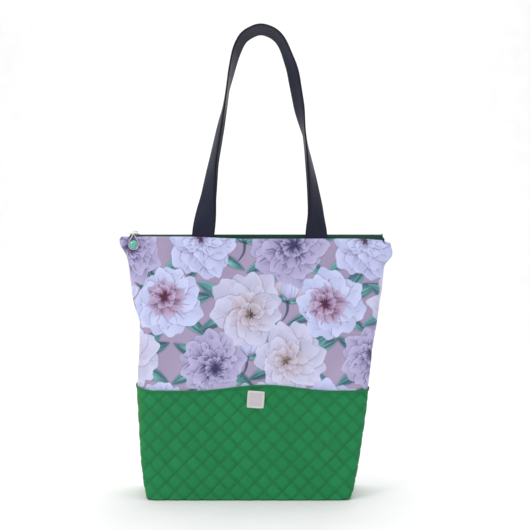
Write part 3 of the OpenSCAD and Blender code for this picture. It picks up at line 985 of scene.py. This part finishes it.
def edge_stitches(side, outer, below):
    """Top-stitching along the folded edge of the quilted panel."""
    normal = -side * grid_normals(outer)
    line, out = [], []
    for c in range(3, outer.shape[1] - 3):
        row = np.interp(-2.9, -below[:, c], np.arange(len(below)))
        r, f = int(row), row - int(row)
        line.append(outer[r, c] * (1 - f) + outer[r + 1, c] * f)
        out.append(normal[r, c])
    line, out = np.array(line), np.array(out)
    run = np.concatenate([[0], np.cumsum(np.linalg.norm(np.diff(line, axis=0), axis=1))])
    places = np.arange(1.5 * MM, run[-1], 3.6 * MM)
    spot, face, along = (np.stack([np.interp(places, run, v) for v in grid.T], -1)
                         for grid in (line, out, np.gradient(line, axis=0)))
    thread = thread_material("edge_thread", (0.006, 0.07, 0.035), (0.014, 0.15, 0.07))
    obj = capsules("edge_stitches_" + SIDE_NAME[side], spot + face * 0.1 * MM, along, face, 2.6 * MM,
                   0.75 * MM, thread)
    ride_as(obj, "bag", "quilted_green")


def make_label(outer):
    """The small square cloth label, sewn over the quilting and a little askew."""
    low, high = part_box("label")
    middle = (low + high) / 2
    half, count, tilt = (high.x - low.x) / 2 * 0.97, 45, math.radians(-4)
    cos, sin = math.cos(tilt), math.sin(tilt)
    u, v = np.meshgrid(np.linspace(-1, 1, count), np.linspace(-1, 1, count))
    corner = 1 - 0.035 * (u * u * v * v)
    du, dv = u * half * corner, v * half * corner
    near = outer[:, outer.shape[1] // 2 - 30 : outer.shape[1] // 2 + 30]
    face = np.min(near[(near[..., 2] > low.z) & (near[..., 2] < high.z)], axis=0)[1]
    edge = np.maximum(np.abs(u), np.abs(v))
    rise = 0.7 + 0.35 * ease(0.76, 0.84, edge) - 0.55 * ease(0.93, 1.0, edge)
    rise += 0.12 * np.sin(u * 5 + 1) * np.sin(v * 4) - 0.4 * (u * u + v * v)
    front = np.stack([middle.x + du * cos - dv * sin, face - rise * MM, middle.z + du * sin + dv * cos], -1)
    obj = shell("label_cloth", front, front + [0, 0.7 * MM, 0], label_material(), du / MM, dv / MM)
    on_shell(obj, "edge", ease(0.74, 0.8, edge))
    ride_as(obj, "bag", "label", "label")
    ring = np.linspace(0, 4, 41)[:-1] + 0.05
    side, part = np.floor(ring), (ring - np.floor(ring)) * 2 - 1
    across = np.select([side == 0, side == 1, side == 2], [part, 1, -part], -1)
    up = np.select([side == 0, side == 1, side == 2], [-1, part, 1], -part)
    row, column = (((0.9 * w + 1) / 2 * (count - 1)).round().astype(int) for w in (up, across))
    along = np.where((side % 2 == 0)[:, None], [cos, 0, sin], [-sin, 0, cos])
    thread = thread_material("label_thread", (0.62, 0.55, 0.54), (0.80, 0.74, 0.73))
    stitches = capsules("label_stitches", front[row, column], along, np.tile([0, -1, 0], (len(ring), 1)),
                        1.9 * MM, 0.55 * MM, thread)
    ride_as(stitches, "bag", "label")


# ---- handles

STRAP_WIDTH, STRAP_THICK = 32.0, 3.0
# Centre line of the front handle from its left end over the top to its right end, in millimetres
STRAP_X = (-80.5, -80, -79, -73, -65, -53.5, -44, -36.5, -29.5, -19, 6, 29, 40, 54.7, 62, 70, 77, 84.6, 90,
           90.5, 90.5)
STRAP_Z = (362, 374, 388, 435, 491, 548, 591, 628, 657, 679, 691.5, 683, 669, 629, 588, 543, 512, 466, 423,
           381, 362)
# Share of the strap's length and its turn there, in degrees
TWIST_AT = (0.0, 0.04, 0.11, 0.19, 0.27, 0.33, 0.38, 0.43, 0.50, 0.57, 0.63, 0.70, 0.75, 0.80, 0.87, 0.93,
            0.955, 0.97, 1.0)
TWIST = (0, 2, 47, 68, 76, 90, 101, 108, 106, 110, 119, 114, 94, 79, 61, 42, 20, 2, 0)


def smooth_path(xs, zs, count):
    """Evenly spaced points along a rounded line through the stations, and their distances along it."""
    chord = run_along(xs, zs)
    fine = np.linspace(0, chord[-1], 1200)
    kernel = np.hanning(67) / np.hanning(67).sum()
    pad = len(kernel) // 2
    curve = []
    for line in (np.interp(fine, chord, xs), np.interp(fine, chord, zs)):
        ends = np.concatenate([2 * line[0] - line[pad:0:-1], line, 2 * line[-1] - line[-2 : -pad - 2 : -1]])
        curve.append(np.convolve(ends, kernel, "valid"))
    length = run_along(*curve)
    place = np.linspace(0, length[-1], count)
    return np.interp(place, length, curve[0]), np.interp(place, length, curve[1]), place


def make_handle(side):
    """One strap: sewn in flat at both ends and twisted in between."""
    name, count, around = SIDE_NAME[side], 300, 48
    x, z, run = smooth_path(STRAP_X, STRAP_Z, count)
    if side == BACK:
        z = z + 5 * ease(420, 690, z)
    y = -(11.0 + 6.5 * ease(383, 640, z))
    twist = np.radians(np.interp(run / run[-1], TWIST_AT, TWIST))
    twist = np.convolve(np.pad(twist, 3, mode="edge"), np.full(7, 1 / 7), "valid")[:, None]
    centre = np.stack([x, y, z], -1)
    tangent = unit(np.gradient(centre, axis=0))
    outward = unit(np.cross(tangent, [0, 1, 0]))
    wide = np.cos(twist) * outward + np.sin(twist) * np.cross(outward, tangent)
    flat = np.cross(tangent, wide)
    turn = circle(around)
    cu = np.sign(np.cos(turn)) * np.abs(np.cos(turn)) ** 0.32
    cv = np.sign(np.sin(turn)) * np.abs(np.sin(turn)) ** 0.5
    thick = STRAP_THICK * (0.34 + 0.66 * ease(381, 396, z))
    width = STRAP_WIDTH * (1 + 0.012 * np.sin(run / 37))
    crease = 0.25 * np.exp(-(((np.abs(cu) - 0.84) / 0.03) ** 2))
    cup = ease(400, 470, z)[:, None] * (0.4 - 0.8 * cu * cu)
    offset = thick[:, None] / 2 * cv * (1 - crease) + cup
    points = (centre[:, None] + wide[:, None] * (width[:, None] / 2 * cu)[..., None]
              + flat[:, None] * offset[..., None])
    caps = [[start + k, start + k + 1, start + around - k - 2, start + around - k - 1]
            for start in (0, (count - 1) * around) for k in range(around // 2 - 1)]
    obj = make_mesh("handle_" + name + "_strap", on_side(points * MM, side),
                    np.concatenate([grid_quads(count, around, wrap=True), caps]), strap_material())
    fix_normals(obj)
    across = rows_of(np.where(cv >= 0, cu, 2 - cu) * STRAP_WIDTH / 2, count)
    cloth = np.stack([across, columns_of(run, around), np.zeros_like(across)], -1)
    set_attribute(obj, "cloth", cloth, "FLOAT_VECTOR")
    set_attribute(obj, "edge", rows_of(ease(0.93, 0.99, np.abs(cu)), count))
    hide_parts("handle_" + name, "handle_ends_" + name)
    x, y, _ = JOINTS[name + "_handle_swing"]["pos_m"]
    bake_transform(obj)


# ---- zip

ZIP_HALF = 0.192
TOOTH_PITCH, TOOTH_WIDE = 1.4 * MM, 1.25 * MM
HAND_NAME = {-1: "_left", 1: "_right"}
# Distance from the middle line and height of the tape, in millimetres
TAPE_SECTION = ((1.2, 384.95), (3.0, 384.95), (4.9, 384.85), (6.2, 383.9), (8.0, 381.9), (9.2, 380.7))


def zip_dive(x):
    """How far the last few millimetres of the zip, past the slider's reach, tuck down into the corner."""
    return -5.5 * MM * ease(187.5 * MM, ZIP_HALF, np.abs(x))


def zip_tape(side, hand, material):
    """A quarter of the zip's tape, from the middle out to one end: ridged beside the teeth, then dipping."""
    stations = np.linspace(0, ZIP_HALF, 90) * hand
    share = np.linspace(0, 1, 22)
    at = np.linspace(0, 1, len(TAPE_SECTION))
    depth, height = (np.interp(share, at, line) for line in zip(*TAPE_SECTION))
    ripple = 0.12 * np.sin(stations / MM / 4.1) * ease(0.4, 0.8, share)[:, None]
    x = rows_of(stations, len(share))
    z = (height[:, None] + ripple) * MM + top_lift(x) * ease(0.35, 1.0, share)[:, None] + zip_dive(x)
    depth = columns_of(depth, len(stations))
    upper = np.stack([x, depth * side * MM, z], -1)
    name = "zip_tape_" + SIDE_NAME[side] + HAND_NAME[hand] + "_cloth"
    return shell(name, upper, upper - [0, 0, 0.6 * MM], material, x / MM, depth)


def zip_coil(side, hand, material):
    """The teeth of a quarter of the zip; the two sides' teeth stand in turn."""
    low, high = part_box("zip_teeth_front")
    near, far = sorted((abs(low.y), abs(high.y)))
    middle = (low.z + high.z) / 2
    x = np.arange(TOOTH_PITCH * (0.5 if side == FRONT else 1.0), ZIP_HALF - 1 * MM, TOOTH_PITCH) * hand
    centres, along, out = (np.tile([0.0, *v], (len(x), 1)) for v in
                           ((side * (near + far) / 2, middle), (side, 0), (0, 1)))
    centres[:, 0] = x
    name = "zip_coil_" + SIDE_NAME[side] + HAND_NAME[hand]
    coil = capsules(name, centres, along, out, far - near, TOOTH_WIDE, material)
    place = np.array([v.co for v in coil.data.vertices], float)
    place[:, 2] = middle + (place[:, 2] - middle) * (high.z - low.z) / TOOTH_WIDE + zip_dive(place[:, 0])
    coil.data.vertices.foreach_set("co", place.astype(np.float32).ravel())
    coil.data.update()
    return coil


def zip_piece(side, hand):
    """A quarter of the zip, which stays sewn down at its end."""
    tape, coil = zip_tape(side, hand, tape_material()), zip_coil(side, hand, coil_material())
    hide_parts("zip_tape_" + SIDE_NAME[side], "zip_end" + HAND_NAME[hand])
    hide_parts("zip_teeth_" + SIDE_NAME[side])
    for obj in (tape, coil):
        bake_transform(obj)


# ---- pull


def tube(name, line, radius, material):
    """A round wire along a closed flat line in the XZ plane."""
    around, count = 12, len(line)
    side = np.cross(unit(np.roll(line, -1, 0) - np.roll(line, 1, 0)), [0, 1, 0])[:, None]
    turn = circle(around)[:, None]
    points = line[:, None] + radius * (np.cos(turn) * side + np.sin(turn) * np.array([0, 1.0, 0]))
    closed = grid_quads(count + 1, around, wrap=True) % (count * around)
    obj = make_mesh(name, points, closed, material)
    fix_normals(obj)
    return obj


def make_pendant(metal):
    """The teardrop wire of the pull."""
    low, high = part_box("pendant_frame")
    radius = (high.y - low.y) / 2
    wide, tall = (high.x - low.x) / 2 - radius, (high.z - low.z) - 2 * radius
    turn = circle(96)
    swell = np.sin(turn) * np.abs(np.sin(turn / 2)) ** 1.3
    x = (low.x + high.x) / 2 + wide * swell / np.abs(swell).max()
    y = np.full_like(x, (low.y + high.y) / 2)
    z = high.z - radius - tall * (1 - np.cos(turn)) / 2
    wire = tube("pendant_wire", np.stack([x, y, z], -1), radius * 0.9, metal)
    ride_as(wire, "pendant", "plated_metal", "pendant_frame")


def make_stone():
    """The faceted stone: a table, a crown of ten facets, a girdle and a closed back."""
    low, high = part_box("pendant_gem")
    cx, _, cz = (low + high) / 2
    radius, front, back = (high.x - low.x) / 2, low.y, high.y
    girdle = front + (back - front) * 0.55
    rings = ((0.56, front, 0.5), (0.82, front + (girdle - front) * 0.45, 0.0), (1.0, girdle, 0.5),
             (0.9, back, 0.5))
    facets = 10
    work = bmesh.new()
    layers = []
    for share, depth, twist in rings:
        turn, far = circle(facets) + twist * 2 * math.pi / facets, radius * share
        layers.append([work.verts.new((cx + far * math.cos(a), depth, cz + far * math.sin(a))) for a in turn])
    for ring, place in ((layers[0], front), (layers[-1], back)):
        hub = work.verts.new((cx, place, cz))
        for k in range(facets):
            work.faces.new((hub, ring[k], ring[(k + 1) % facets]))
    for a, b in zip(layers, layers[1:]):
        for k in range(facets):
            n = (k + 1) % facets
            work.faces.new((a[k], a[n], b[k]))
            work.faces.new((a[n], b[n], b[k]))
    bmesh.ops.recalc_face_normals(work, faces=work.faces)
    mesh = bpy.data.meshes.new("pendant_stone")
    work.to_mesh(mesh)
    work.free()
    ride_as(make_object("pendant_stone", mesh, gem_material()), "pendant", "stone", "pendant_gem")


def finish_cad_nodes(metal):
    """Better finishes in the slots of the CAD pieces that stay in view."""
    finishes = {"base_board": board_material()}
    for node in ("zip_slider", "pull_link", "pendant_bezel", "zip_top_stops", "zip_bottom_stop"):
        finishes[node] = metal
    for node, material in finishes.items():
        materials = frame["nodes"][node].data.materials
        if not materials:
            materials.append(material)
        for k in range(len(materials)):
            materials[k] = material


# ---- build


def build():
    build_stage()
    for side in (FRONT, BACK):
        moved = settle_cloth(side)
        print_panel(side, moved)
        outer, below = quilted_panel(side)
        edge_stitches(side, outer, below)
        if side == FRONT:
            make_label(outer)
        lining(side, moved)
        make_handle(side)
        for hand in HAND_NAME:
            zip_piece(side, hand)
    metal = metal_material()
    make_pendant(metal)
    make_stone()
    finish_cad_nodes(metal)


build()
